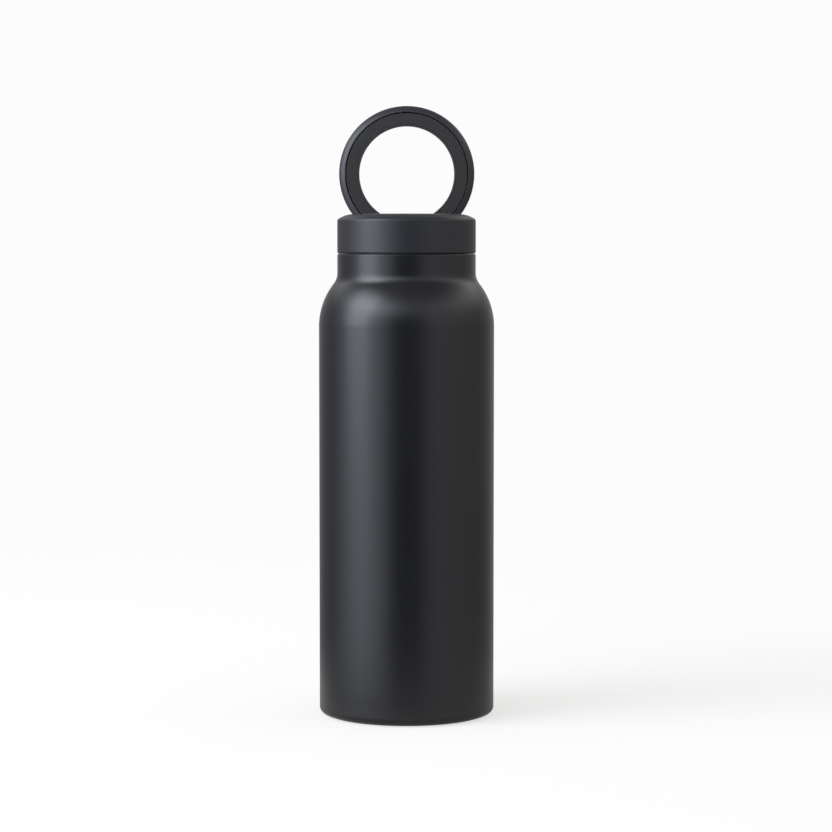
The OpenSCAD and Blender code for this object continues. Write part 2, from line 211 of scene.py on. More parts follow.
# The room is dimmer below eye height: heights where it is dimmest and where it is full, and how dim.
# Heights in the room are sines of the angle above eye height.
ROOM_LOW = (-0.25, 0.06, 0.62)
# Heights between which the sides give way to the top, and the top to the zenith
TOP_FADE = (0.28, 0.5)
ZENITH_FADE = (0.54, 0.78)


# ---------------------------------------------------------------- outlines

def rounded(corners):
    """Closed outline through (x, z, radius) corners, each rounded by its radius."""
    outline = []
    for i, (x, z, radius) in enumerate(corners):
        here = np.array([x, z], float)
        if radius <= 0:
            outline.append(here)
            continue
        back = np.array(corners[i - 1][:2], float) - here
        ahead = np.array(corners[(i + 1) % len(corners)][:2], float) - here
        back /= np.linalg.norm(back)
        ahead /= np.linalg.norm(ahead)
        half = math.acos(np.clip(back @ ahead, -1, 1)) / 2
        middle = (back + ahead) / np.linalg.norm(back + ahead)
        centre = here + middle * radius / math.sin(half)
        first = here + back * radius / math.tan(half) - centre
        last = here + ahead * radius / math.tan(half) - centre
        start = math.atan2(first[1], first[0])
        sweep = math.remainder(math.atan2(last[1], last[0]) - start, 2 * math.pi)
        count = max(2, math.ceil(abs(sweep) / min(ARC_STEP, ARC_EDGE / radius)))
        for k in range(count + 1):
            angle = start + sweep * k / count
            outline.append(centre + radius * np.array([math.cos(angle), math.sin(angle)]))
    return [p for i, p in enumerate(outline) if np.linalg.norm(p - outline[i - 1]) > 1e-4]


def divided(outline, longest):
    """The outline with every edge longer than longest cut into equal parts."""
    result = []
    for i, p in enumerate(outline):
        after = outline[(i + 1) % len(outline)]
        count = max(1, math.ceil(np.linalg.norm(after - p) / longest))
        result += [p + (after - p) * k / count for k in range(count)]
    return result


def bottle_corners(body, neck, shoulder, sweep, neck_z, inset):
    """The two corners whose rounds make a convex shoulder and a concave sweep with one tangent."""
    out = neck + sweep - body + shoulder
    rise = math.sqrt((shoulder + sweep) ** 2 - out ** 2)
    reach = math.tan(math.atan2(rise, out) / 2)
    low = (body - inset, neck_z - rise + (shoulder - inset) * reach, shoulder - inset)
    high = (neck - inset, neck_z - (sweep + inset) * reach, sweep + inset)
    return low, high


def box_corners(x0, x1, z0, z1, radius):
    """Four corners of an upright rectangle, all with one radius."""
    return [(x0, z0, radius), (x1, z0, radius), (x1, z1, radius), (x0, z1, radius)]


# ---------------------------------------------------------------- meshes

def new_object(name, verts, faces, normals=None):
    """A smooth object from millimetre vertices. Without given normals its faces are turned outward."""
    mesh = bpy.data.meshes.new(name)
    mesh.from_pydata((np.asarray(verts, float) * MM).tolist(), [], faces)
    if normals is None:
        shape = bmesh.new()
        shape.from_mesh(mesh)
        bmesh.ops.remove_doubles(shape, verts=shape.verts, dist=1e-7)
        bmesh.ops.recalc_face_normals(shape, faces=shape.faces)
        for edge in shape.edges:
            edge.smooth = len(edge.link_faces) != 2 or edge.calc_face_angle() < SHARP_TURN
        shape.to_mesh(mesh)
        shape.free()
    mesh.polygons.foreach_set("use_smooth", [True] * len(mesh.polygons))
    if normals is not None:
        mesh.normals_split_custom_set_from_vertices(normals.tolist())
    obj = bpy.data.objects.new(name, mesh)
    bpy.context.scene.collection.objects.link(obj)
    return obj


def even_shading(obj):
    """Flat stretches stay flat beside small rounds, because the large faces set the normals."""
    weighted = obj.modifiers.new("even_shading", "WEIGHTED_NORMAL")
    weighted.mode = "FACE_AREA"
    weighted.weight = 50
    weighted.keep_sharp = True
    return obj


def revolve(outline, around=192, start=0.0, sweep=360.0, shift=None):
    """Vertices and faces of an outline of (r, z) points turned about Z. shift(r, angle, z) moves r."""
    full = abs(sweep) >= 360
    count = around if full else max(2, math.ceil(around * sweep / 360))
    steps = count if full else count + 1
    angles = np.radians(start + sweep * np.arange(steps) / count)
    r = np.array([p[0] for p in outline])
    z = np.array([p[1] for p in outline])
    radii = np.tile(r, (steps, 1))
    heights = np.tile(z, (steps, 1))
    turned = np.tile(angles[:, None], (1, len(r)))
    if shift is not None:
        radii = shift(radii, turned, heights)
    verts = np.stack([radii * np.cos(turned), radii * np.sin(turned), heights], 2).reshape(-1, 3)
    n = len(r)
    faces = []
    for j in range(count):
        here, there = j * n, ((j + 1) % steps) * n
        for i in range(n):
            k = (i + 1) % n
            if r[i] < 1e-6 and r[k] < 1e-6:
                continue
            faces.append((here + i, here + k, there + k, there + i))
    if not full:
        faces.append(tuple(range(n)))
        faces.append(tuple((steps - 1) * n + i for i in reversed(range(n))))
    return verts, faces


def lathe(name, corners, longest=None, place=None, **turning):
    """A turned piece. place moves its vertices to where they belong."""
    outline = rounded(corners)
    if longest:
        outline = divided(outline, longest)
    verts, faces = revolve(outline, **turning)
    if place is not None:
        verts = place(verts)
    return even_shading(new_object(name, verts, faces))


def in_ring(verts):
    """Turns a shape drawn round Z into the upright ring, with its +Z side at the back."""
    return np.stack([verts[:, 0], RING_Y + verts[:, 2], RING_Z + verts[:, 1]], 1)


def on_hinge(verts):
    """Lays a shape drawn round Z along the hinge axis."""
    return np.stack([verts[:, 2], HINGE_Y + verts[:, 0], HINGE_Z + verts[:, 1]], 1)


def joined(name, parts):
    """One object from several (verts, faces) parts."""
    verts, faces, base = [], [], 0
    for part_verts, part_faces in parts:
        verts.append(part_verts)
        faces += [tuple(base + i for i in face) for face in part_faces]
        base += len(part_verts)
    return even_shading(new_object(name, np.concatenate(verts), faces))


# ---------------------------------------------------------------- rounded solids from distance fields

def rmax(a, b, radius):
    """Overlap of two fields, with the edge between them rounded."""
    bend = np.hypot(np.maximum(radius + a, 0), np.maximum(radius + b, 0))
    return np.minimum(-radius, np.maximum(a, b)) + bend


def rmin(a, b, radius):
    """Both fields together, with the corner between them filled."""
    return -rmax(-a, -b, radius)


def cut(a, b, radius):
    """Field a with field b taken out, and the new edge rounded."""
    return rmax(a, -b, radius)


def block(x, y, z, low, high):
    """Field of a box between two corners."""
    gap = [np.maximum(l - c, c - h) for c, l, h in zip((x, y, z), low, high)]
    outside = np.sqrt(sum(np.maximum(g, 0) ** 2 for g in gap))
    return outside + np.minimum(np.maximum(np.maximum(gap[0], gap[1]), gap[2]), 0)


def within(value, low, high, field=-np.inf):
    """Part of a field where value lies between low and high."""
    return np.maximum(np.maximum(low - value, value - high), field)


def polygon_field(px, pz, corners):
    """Distance to a polygon in a plane, negative inside."""
    nearest = np.full(px.shape, np.inf)
    inside = np.zeros(px.shape, bool)
    for (ax, az), (bx, bz) in zip(corners, corners[1:] + corners[:1]):
        ex, ez = bx - ax, bz - az
        wx, wz = px - ax, pz - az
        t = np.clip((wx * ex + wz * ez) / (ex * ex + ez * ez), 0, 1)
        nearest = np.minimum(nearest, (wx - t * ex) ** 2 + (wz - t * ez) ** 2)
        crosses = (az > pz) != (bz > pz)
        if az != bz:
            inside ^= crosses & (px < ax + (pz - az) * ex / ez)
    return np.where(inside, -1, 1) * np.sqrt(nearest)


def slope(field, p, h=0.01):
    """Gradient of a field at points p."""
    parts = []
    for axis in range(3):
        d = np.zeros(3)
        d[axis] = h
        parts.append(field(*(p + d).T) - field(*(p - d).T))
    return np.stack(parts, 1) / (2 * h)


def net(field, low, high, cell):
    """The surface where field is zero: points on it, the quads that join them, and normals."""
    axes = [np.arange(l - 2 * cell, h + 3 * cell, cell) for l, h in zip(low, high)]
    x, y, z = np.meshgrid(*axes, indexing="ij")
    values = field(x, y, z)
    filled = values < 0
    shape = tuple(s - 1 for s in filled.shape)
    window = lambda a, o: a[o[0]:o[0] + shape[0], o[1]:o[1] + shape[1], o[2]:o[2] + shape[2]]
    corner_list = [(i, j, k) for i in (0, 1) for j in (0, 1) for k in (0, 1)]
    total = sum(window(filled, o).astype(np.int8) for o in corner_list)
    active = (total > 0) & (total < 8)
    cells = np.argwhere(active)
    index = np.full(shape, -1)
    index[active] = np.arange(len(cells))
    corner_values = {o: window(values, o)[active] for o in corner_list}
    points = np.zeros((len(cells), 3))
    crossings = np.zeros(len(cells))
    for a in corner_list:
        for axis in range(3):
            if a[axis] == 1:
                continue
            b = tuple(1 if i == axis else v for i, v in enumerate(a))
            fa, fb = corner_values[a], corner_values[b]
            hit = (fa < 0) != (fb < 0)
            t = np.where(hit, fa / np.where(hit, fa - fb, 1), 0)
            place = np.array(a, float) + t[:, None] * (np.array(b) - np.array(a))
            points += np.where(hit[:, None], place, 0)
            crossings += hit
    start = np.array([a[0] for a in axes])
    points = start + (cells + points / crossings[:, None]) * cell
    quads = []
    for axis in range(3):
        u, v = (axis + 1) % 3, (axis + 2) % 3
        one = [slice(1, -1)] * 3
        one[axis] = slice(0, -1)
        two = list(one)
        two[axis] = slice(1, None)
        change = filled[tuple(one)] != filled[tuple(two)]
        leaving = filled[tuple(one)][change]
        at = np.argwhere(change)
        at[:, u] += 1
        at[:, v] += 1
        ring = []
        for du, dv in ((0, 0), (-1, 0), (-1, -1), (0, -1)):
            c = at.copy()
            c[:, u] += du
            c[:, v] += dv
            ring.append(index[c[:, 0], c[:, 1], c[:, 2]])
        quad = np.stack(ring, 1)
        quad[~leaving] = quad[~leaving][:, ::-1]
        quads.append(quad)
    quads = np.concatenate(quads)
    for _ in range(4):
        g = slope(field, points)
        move = -field(*points.T)[:, None] * g / np.maximum((g ** 2).sum(1, keepdims=True), 0.25)
        points += np.clip(move, -cell / 2, cell / 2)
    g = slope(field, points, cell / 6)
    normals = g / np.maximum(np.linalg.norm(g, axis=1, keepdims=True), 1e-9)
    return points, quads, normals


def from_nets(name, nets):
    """One object from several nets."""
    shifts = np.cumsum([0] + [len(points) for points, _, _ in nets])
    points = np.concatenate([n[0] for n in nets])
    quads = np.concatenate([n[1] + shift for n, shift in zip(nets, shifts)])
    normals = np.concatenate([n[2] for n in nets])
    return new_object(name, points, quads.tolist(), normals)


def solid(name, field, node, cell=CELL):
    """An object from the field of a whole CAD node."""
    low, high = span(node)
    return from_nets(name, [net(field, low, high, cell)])


# ---------------------------------------------------------------- threads

def rib(angle, z, low_z, reach):
    """How far the two helical ribs of a thread stand out at an angle (radians) and height."""
    total = 0.0
    for start in (0.0, 0.5):
        turn = np.mod(angle / (2 * math.pi) - start, 1)
        away = np.abs(z - low_z - THREAD_LEAD * turn)
        width = np.clip((THREAD_PITCH / 3.2 - away) / 0.65, 0, 1)
        end = np.clip(12 * np.minimum(turn, 1 - turn), 0, 1)
        total = total + reach * width * width * (3 - 2 * width) * end * end * (3 - 2 * end)
    return total


def helical_step(z, angle, pitch, depth):
    """Triangular screw thread, as a depth below the crest."""
    phase = np.mod(z / pitch - angle / (2 * math.pi), 1)
    return depth * np.abs(2 * phase - 1)


# ---------------------------------------------------------------- bottle

def body_wall():
    low, high = bottle_corners(BODY_R, LID_R, SHOULDER_R, NECK_SWEEP_R, RIM_Z - NECK_H, 0)
    in_low, in_high = bottle_corners(BODY_R, LID_R, SHOULDER_R, NECK_SWEEP_R, RIM_Z - NECK_H, WALL_T)
    corners = [
        (BODY_R, SEAM_Z, 0), low, high, (LID_R, RIM_Z, RIM_ROUND_R), (LIP_R, RIM_Z, 0),
        (LIP_R, RIM_Z - WALL_T, 0), (LID_R - WALL_T, RIM_Z - WALL_T, 0), in_high, in_low,
        (BODY_R - WALL_T, SEAM_Z, 0),
    ]
    return lathe("outer_shell_wall", corners, longest=5, around=288)


def base_ring():
    ceiling = PAD_T + 0.05
    step_r = PAD_R + 0.05
    dimple_r, dimple_h, port_r = 7, 2.2, 1.2
    inside_z = BASE_LIFT + WALL_T
    top = ceiling + dimple_h
    corners = [
        (step_r, BASE_LIFT, 0.15), (BODY_R, BASE_LIFT, BASE_CORNER_R), (BODY_R, SEAM_Z, 0),
        (BODY_R - WALL_T, SEAM_Z, 0), (BODY_R - WALL_T, inside_z, BASE_CORNER_R - WALL_T),
        (step_r + WALL_T, inside_z, 0), (step_r + WALL_T, ceiling + WALL_T, 0.25),
        (dimple_r + WALL_T, ceiling + WALL_T, 0.25), (dimple_r + WALL_T, top + WALL_T, 0.6),
        (port_r, top + WALL_T, 0.1), (port_r, top, 0.1),
        (dimple_r, top, 0.4), (dimple_r, ceiling, 0.6), (step_r, ceiling, 0),
    ]
    return lathe("outer_base_ring", corners, longest=4, around=288)


def rubber_pad():
    corners = [(0, 0, 0)]
    for i in range(4):
        groove_r = 14 + 6 * i
        corners += [
            (groove_r - 0.5, 0, 0.1), (groove_r - 0.5, 0.3, 0.1),
            (groove_r + 0.5, 0.3, 0.1), (groove_r + 0.5, 0, 0.1),
        ]
    corners += [(PAD_R, 0, 0.35), (PAD_R, PAD_T, 0.12), (0, PAD_T, 0)]
    return lathe("base_pad_disc", corners, longest=4, around=192)


def flask():
    """Both faces of the neck follow the rolled thread."""
    neck_r = MOUTH_R + FLASK_T
    neck_z = RIM_Z - FLASK_NECK_H
    low, high = bottle_corners(FLASK_R, neck_r, FLASK_SHOULDER_R, FLASK_SWEEP_R, neck_z, 0)
    in_low, in_high = bottle_corners(FLASK_R, neck_r, FLASK_SHOULDER_R, FLASK_SWEEP_R, neck_z, FLASK_T)
    inside_floor = FLASK_FLOOR_Z + FLASK_T
    corners = [
        (0, FLASK_FLOOR_Z, 0), (FLASK_R, FLASK_FLOOR_Z, FLASK_CORNER_R), low, high,
        (neck_r, RIM_Z - WALL_T, 0.3), (LIP_R - 0.02, RIM_Z - WALL_T, 0), (LIP_R - 0.02, RIM_Z, 0),
        (MOUTH_R, RIM_Z, 0.5), in_high, in_low,
        (FLASK_R - FLASK_T, inside_floor, FLASK_CORNER_R - FLASK_T), (0, inside_floor, 0),
    ]
    outline = []
    plain = rounded(corners)
    for i, p in enumerate(plain):
        after = plain[(i + 1) % len(plain)]
        neck = min(p[1], after[1]) > THREAD_LOW_Z - 6 and abs(p[0] - after[0]) < 1
        outline += divided([p, after], THREAD_ROW if neck else 5)[:-1]

    def rolled(r, angle, z):
        below_rim = np.clip((RIM_Z - 2 - z) / 1.5, 0, 1)
        return r - rib(angle, z, THREAD_LOW_Z, THREAD_DEPTH + THREAD_GAP) * (r < LIP_R - 0.5) * below_rim

    verts, faces = revolve(outline, around=288, shift=rolled)
    return even_shading(new_object("inner_flask_wall", verts, faces))


def foil():
    """Thin wrap with a lapped seam at the back and faint wrinkles."""
    low, high = span("copper_foil")
    thick = 0.15
    out_r = high[0]
    corners = [
        (out_r - thick, low[2], 0), (out_r, low[2], 0), (out_r, high[2], 0), (out_r - thick, high[2], 0),
    ]

    def wrinkled(r, angle, z):
        from_lap = np.abs(np.remainder(angle, 2 * math.pi) - math.pi / 2)
        lap = 0.2 / (1 + np.exp(-12 * (1.4 - 30 * from_lap)))
        waves = np.sin(9 * angle + 0.11 * z) * np.sin(0.23 * z + 3 * angle)
        waves += np.sin(17 * angle - 0.31 * z)
        return r + lap + 0.07 * (1 + waves / 2)

    return lathe("copper_foil_wrap", corners, longest=3, around=240, shift=wrinkled)


def getter_disc():
    low, high = span("getter")
    centre = (low + high) / 2
    radius, thick = (high[0] - low[0]) / 2, high[2] - low[2]
    corners = [
        (0, 0.5, 0), (1.6, 0.5, 0.2), (1.6, 0, 0.3), (radius, 0, 0.4), (radius, thick, 0.3),
        (radius - 0.6, thick, 0.15), (radius - 0.6, thick - 0.35, 0.15), (2, thick - 0.35, 0.3),
        (1.2, thick, 0.3), (0, thick, 0),
    ]
    shift = (centre[0], 0, low[2])
    return lathe("getter_disc", corners, longest=0.8, around=96, place=lambda v: v + shift)


def clip():
    low, high = span("getter_clip")
    centre_x = (low[0] + high[0]) / 2
    half, foot, thick = span("getter")[1][0] - centre_x + 0.1, 2.5, 0.35
    floor_z = high[2]
    drop = floor_z - low[2]

    def field(x, y, z):
        away = np.abs(x - centre_x)
        plate = block(away, y, z, (-1, -1.5, low[2]), (half + thick, 1.5, low[2] + thick))
        wall = block(away, y, z, (half, -1.5, low[2]), (half + thick, 1.5, low[2] + drop))
        tab = block(away, y, z, (half, -1.5, floor_z - thick), (half + foot, 1.5, floor_z))
        return rmin(rmin(plate, wall, 0.25), tab, 0.25)

    return solid("getter_clip_spring", field, "getter_clip", 0.14)


def seal_bead():
    low, high = span("port_seal")
    corners = [
        (0, low[2], 0), (high[0], low[2], 0.6), (high[0], high[2] - WALL_T, 0.12),
        (1.18, high[2] - WALL_T, 0), (1.18, high[2], 0.3), (0, high[2], 0),
    ]
    return lathe("port_seal_bead", corners, longest=0.5, around=72)


# ---------------------------------------------------------------- seal

def gasket():
    low, high = span("mouth_gasket")
    root_r, tip_r = MOUTH_R - 1.1, high[0]
    back_r = MOUTH_R - 2.2
    corners = [(back_r, low[2], 0.3)]
    corners.append((root_r, low[2], 0))
    for z in (low[2] + 0.5, high[2] - 1.1):
        corners += [(root_r, z - 0.4, 0), (tip_r, z + 0.1, 0.15)]
        corners += [(tip_r, z + 0.5, 0.15), (root_r, z + 0.5, 0.1)]
    corners += [(root_r, high[2], 0.15), (back_r, high[2], 0.3)]
    corners = [c for i, c in enumerate(corners) if i == 0 or c[:2] != corners[i - 1][:2]]
    return lathe("mouth_gasket_ring", corners, around=240)


# ---------------------------------------------------------------- lid

def upright(x, y, spots):
    """Distance from the nearest of some vertical axes."""
    return np.min([np.hypot(x - sx, y - sy) for sx, sy in spots], axis=0)


def drum(distance, z, radius, low, high):
    """Field of an upright cylinder, from the distance to its axis."""
    return np.maximum(np.maximum(distance - radius, low - z), z - high)


def sloped(r, z, inner, outer):
    """Field of the half space under a cone through two (r, z) points."""
    run, fall = outer[0] - inner[0], inner[1] - outer[1]
    return ((r - inner[0]) * fall + (z - inner[1]) * run) / math.hypot(run, fall)


def bulged(r, z, inner, outer, bulge):
    """Field of the space under an arc through two (r, z) points. bulge is its height over their chord."""
    run, fall = outer[0] - inner[0], inner[1] - outer[1]
    chord = math.hypot(run, fall)
    radius = chord ** 2 / (8 * bulge) + bulge / 2
    down = (radius - bulge) / chord
    centre_r = (inner[0] + outer[0]) / 2 - fall * down
    centre_z = (inner[1] + outer[1]) / 2 - run * down
    return np.hypot(np.maximum(r - centre_r, 0), np.maximum(z - centre_z, 0)) - radius


def scoop(x, y, z, grow):
    return np.maximum(np.hypot(x, z - RING_Z) - SCOOP_R - grow, REAR_Y - grow - y)


def pocket(x, y, z, grow):
    half = BRACKET_HALF + 0.1 + grow
    low = (-half, BRACKET_FRONT - 0.1 - grow, BRACKET_LOW - 0.1 - grow)
    return block(x, y, z, low, (half, REAR_Y + 0.05 + grow, LID_TOP + 3))


def lid_field(x, y, z):
    r = np.hypot(x, y)
    crown = bulged(r, z, (CROWN_FLAT_R, LID_TOP), (LID_R - CROWN_EDGE, LID_TOP - CROWN_DROP), CROWN_BULGE)
    outside = rmax(rmax(z - LID_TOP, crown, 0.6), r - LID_R, 0.7)
    outside = rmax(outside, LID_LOW - z, 0.2)
    lip_r = LID_R - SKIRT_T + SKIRT_LIP_T
    outside = rmin(outside, np.maximum(np.maximum(r - lip_r, RIM_Z + 0.1 - z), z - LID_TOP + 5), 0.2)
    ceiling = LID_TOP - TOP_T
    inside = sloped(r, z, (CROWN_FLAT_R, ceiling), (LID_R - SKIRT_T, ceiling - CROWN_DROP))
    inside = rmax(rmax(z - ceiling, inside, 0.5), r - LID_R + SKIRT_T, 0.5)
    inside = cut(inside, scoop(x, y, z, LID_WALL_T), 0.4)
    inside = cut(inside, pocket(x, y, z, LID_WALL_T), 0.4)
    inside = cut(inside, np.maximum(HINGE_Y - 2.4 - y, HINGE_Z - LID_WALL_T - z), 0.4)
    shell = cut(outside, inside, 0.25)
    screws = upright(x, y, SCREW_SPOTS)
    shell = rmin(shell, drum(screws, z, 3, FLANGE_TOP + 0.1, LID_TOP - 1), 0.5)
    shell = cut(shell, scoop(x, y, z, 0), 0.35)
    round_r = np.hypot(np.maximum(y - HINGE_Y, 0), np.maximum(z - HINGE_Z, 0))
    shell = np.maximum(shell, np.where((z > HINGE_Z) & (y > HINGE_Y - 1), round_r - EDGE_R, -EDGE_R))
    shell = cut(shell, pocket(x, y, z, 0), 0.25)
    shell = cut(shell, drum(screws, z, 1.02, FLANGE_TOP - 3, FLANGE_TOP + 7), 0.15)
    return cut(shell, drum(upright(x, y, BRACKET_SPOTS), z, 1.2, BRACKET_LOW - 3, BRACKET_LOW + 1), 0.15)


def plug_field(x, y, z):
    r = np.hypot(x, y)
    angle = np.arctan2(y, x)
    side = r - PLUG_R - rib(angle, z, THREAD_LOW_Z - THREAD_PITCH / 2, THREAD_DEPTH + THREAD_GAP)
    tube = rmax(rmax(side, PLUG_LOW - z, 0.3), z - FLANGE_TOP + 1, 0.1)
    flange_low = FLANGE_TOP - FLANGE_T
    flange = rmax(rmax(r - FLANGE_R, z - FLANGE_TOP, 0.3), flange_low - z, 0.3)
    body = rmin(tube, flange, 0.3)
    body = cut(body, np.maximum(r - PLUG_R + PLUG_WALL_T, z - flange_low), 0.3)
    groove = np.maximum(np.maximum(GROOVE_R - r, GROOVE_LOW - z), z - GROOVE_HIGH)
    body = cut(body, groove, 0.2)
    body = cut(body, drum(upright(x, y, SCREW_SPOTS), z, 1.2, flange_low - 1, FLANGE_TOP + 1), 0.15)
    return cut(body, drum(upright(x, y, BRACKET_SPOTS), z, 2.5, FLANGE_TOP - 1.8, FLANGE_TOP + 2), 0.2)


def foam_core():
    low, high = span("plug_foam")
    radius = high[0]
    corners = [(0, low[2], 0), (radius, low[2], 1.2), (radius, high[2], 1.2), (0, high[2], 0)]

    def cast(r, angle, z):
        return r - 0.06 * (r > radius - 2) * (1 + np.sin(23 * angle + z) * np.sin(1.9 * z + 7 * angle))

    return lathe("plug_foam_core", corners, longest=0.9, around=240, shift=cast)


def liner():
    """Pressed steel cap under the plug, with a coined step."""
    low, high = span("plug_liner")
    radius = high[0]
    plate_z = PLUG_LOW - 0.02
    spigot_out = PLUG_R - PLUG_WALL_T - 0.05
    corners = [
        (0, low[2] + 0.3, 0), (16, low[2] + 0.3, 0.6), (16.6, low[2], 0.4), (radius, low[2], 0.3),
        (radius, plate_z, 0.1), (spigot_out, plate_z, 0), (spigot_out, high[2], 0.3),
        (spigot_out - 1.2, high[2], 0.3), (spigot_out - 1.2, plate_z, 0.3), (0, plate_z, 0),
    ]
    return lathe("plug_liner_cap", corners, longest=2, around=192)


def screw(length):
    """Pan-head screw with its head below z = 0 and its threaded shank above."""
    head_h, head_r, shank_r, socket_r = 1.6, 2.2, 1.0, 0.78

    def field(x, y, z):
        r = np.hypot(x, y)
        angle = np.arctan2(y, x)
        head = rmax(rmax(r - head_r, -head_h - z, 0.7), z, 0.1)
        tip = np.maximum(z - length + 1.2, 0) * 0.35
        shank = within(z, -1, length, r - shank_r + tip + helical_step(z, angle, 0.7, 0.22))
        side = np.remainder(angle + math.pi / 6, math.pi / 3) - math.pi / 6
        socket = np.maximum(r * np.cos(side) - socket_r, z + head_h - 0.9)
        return cut(rmin(head, shank, 0.15), socket, 0.08)

    return net(field, (-head_r, -head_r, -head_h), (head_r, head_r, length), 0.14)


def screw_set(name, spots, z, length):
    points, quads, normals = screw(length)
    return from_nets(name, [(points + (sx, sy, z), quads, normals) for sx, sy in spots])


# ---------------------------------------------------------------- ring hinge

def bracket_field(x, y, z):
    ear = np.hypot(y - HINGE_Y, z - HINGE_Z)
    across = np.abs(x)
    foot = within(y, BRACKET_FRONT, BRACKET_REAR, within(z, BRACKET_LOW, HINGE_Z))
    front = within(y, BRACKET_FRONT, HINGE_Y, within(z, HINGE_Z - 1, HINGE_Z + EAR_R))
    profile = np.minimum(np.minimum(foot, front), ear - EAR_R)
    body = rmax(profile, across - BRACKET_HALF, 0.3)
    gap = np.minimum(ear - BARREL_R - 0.3, np.maximum(HINGE_Y - y, HINGE_Z - SLOT_DROP - z))
    body = cut(body, np.maximum(gap, across - SLOT_HALF), 0.2)
    body = cut(body, ear - BUSH_R - 0.01, 0.1)
    return cut(body, drum(upright(x, y, BRACKET_SPOTS), z, 1.02, BRACKET_LOW - 1, BRACKET_LOW + 5), 0.15)


def hinge_sleeves(name, in_r, out_r, from_x, to_x, edge):
    """A pair of matching tubes on the hinge axis, one each side."""
    parts = []
    for side in (-1, 1):
        corners = [(in_r, from_x, edge), (out_r, from_x, edge), (out_r, to_x, edge), (in_r, to_x, edge)]
        verts, faces = revolve(divided(rounded(corners), 0.5), around=72)
        verts[:, 2] *= side
        parts.append((on_hinge(verts), faces))
    return joined(name, parts)


def pin():
    half = span("hinge_pin")[1][0]
    corners = [(0, -half, 0), (PIN_R, -half, 0.35), (PIN_R, half, 0.35), (0, half, 0)]
    return lathe("hinge_pin_rod", corners, longest=0.8, around=72, place=on_hinge)


# ---------------------------------------------------------------- ring

def ring_field(x, y, z):
    up, back = z - RING_Z, y - RING_Y
    u = np.hypot(x, up)
    bull_u = RING_R - RING_BULL_R
    arc_u = RING_ARC_FROM - RING_ARC_R * math.sin(RING_ARC_TILT)
    arc_back = RING_ARC_R * math.cos(RING_ARC_TILT) - RING_BULL_R
    edge = np.hypot(u - arc_u, np.hypot(back, 0.2) + arc_back) - RING_ARC_R
    outside = rmax(np.abs(back) - RING_BULL_R, np.where(u > arc_u, edge, -RING_BULL_R), 0.1)
    ring = rmax(outside, RING_HOLE_R - u, 0.3)
    face = RING_Y - RING_BULL_R + 0.5
    arm = [
        (HINGE_Y, HINGE_Z - BARREL_R), (face, HINGE_Z - BARREL_R - 2.4),
        (face, HINGE_Z - 0.6), (HINGE_Y, HINGE_Z + 1),
    ]
    knuckle = np.hypot(y - HINGE_Y, z - HINGE_Z)
    lug = rmin(knuckle - BARREL_R, polygon_field(y, z, arm), 0.3)
    ring = rmin(ring, rmax(lug, np.abs(x) - LUG_HALF, 0.3), 0.4)
    foot = u * np.sin(np.clip(FOOT_HALF - np.abs(np.arctan2(x, -up)), -1.5, 1.5))
    recess = within(u, RING_HOLE_R + RIM_STRIP_W, COVER_OUT_R + 0.03, back + RING_BULL_R - COVER_T)
    channel = within(u, CHANNEL_IN_R, CHANNEL_OUT_R, back - CHANNEL_FLOOR)
    ring = cut(ring, np.maximum(np.minimum(recess, channel), foot), 0.03)
    seat = within(u, bull_u - GRIP_W - 0.05, bull_u + 0.05, RING_BULL_R - GRIP_T - back)
    ring = cut(ring, seat, 0.08)
    return cut(ring, np.maximum(knuckle - PIN_R - 0.01, np.abs(x) - LUG_HALF - 1), 0.1)


def cover():
    in_r, out_r = RING_HOLE_R + RIM_STRIP_W + 0.03, COVER_OUT_R
    front, back = -RING_BULL_R, -RING_BULL_R + COVER_T - 0.05
    corners = [(in_r, front, 0.03), (out_r, front, 0.03), (out_r, back, 0.1), (in_r, back, 0.1)]
    return lathe("ring_cover_face", corners, longest=0.9, place=in_ring, around=288, start=C_START + 0.15,
                 sweep=C_SWEEP - 0.3)


def magnets():
    step = C_SWEEP / MAGNET_COUNT
    low, high = CHANNEL_FLOOR - MAGNET_T - 0.05, CHANNEL_FLOOR - 0.05
    corners = box_corners(CHANNEL_MID_R - MAGNET_W / 2, CHANNEL_MID_R + MAGNET_W / 2, low, high, 0.25)
    outline = divided(rounded(corners), 0.8)
    parts = []
    for i in range(MAGNET_COUNT):
        verts, faces = revolve(outline, around=216, start=C_START + i * step + 0.6, sweep=step - 1.2)
        parts.append((in_ring(verts), faces))
    return joined("ring_magnet_blocks", parts)


def yoke():
    high = CHANNEL_FLOOR - MAGNET_T - 0.1
    half = MAGNET_W / 2
    corners = box_corners(CHANNEL_MID_R - half, CHANNEL_MID_R + half, high - YOKE_T, high, 0.12)
    return lathe("ring_yoke_plate", corners, longest=1.2, place=in_ring, around=216, start=C_START + 0.5,
                 sweep=C_SWEEP - 1)


def phone_pad():
    """Soft ring with three fine grooves that let air out under a phone."""
    out_r = RING_R - RING_BULL_R
    in_r = out_r - GRIP_W
    low, high = RING_BULL_R - GRIP_T + 0.02, RING_BULL_R
    corners = [(in_r, high, 0.18), (in_r, low, 0), (out_r, low, 0), (out_r, high, 0.18)]
    for i in (3, 2, 1):
        groove = in_r + GRIP_W * i / 4
        corners += [(groove + 0.2, high, 0.08), (groove, high - 0.22, 0.05), (groove - 0.2, high, 0.08)]
    return lathe("phone_grip_pad", corners, longest=0.8, place=in_ring, around=288)


# ---------------------------------------------------------------- materials

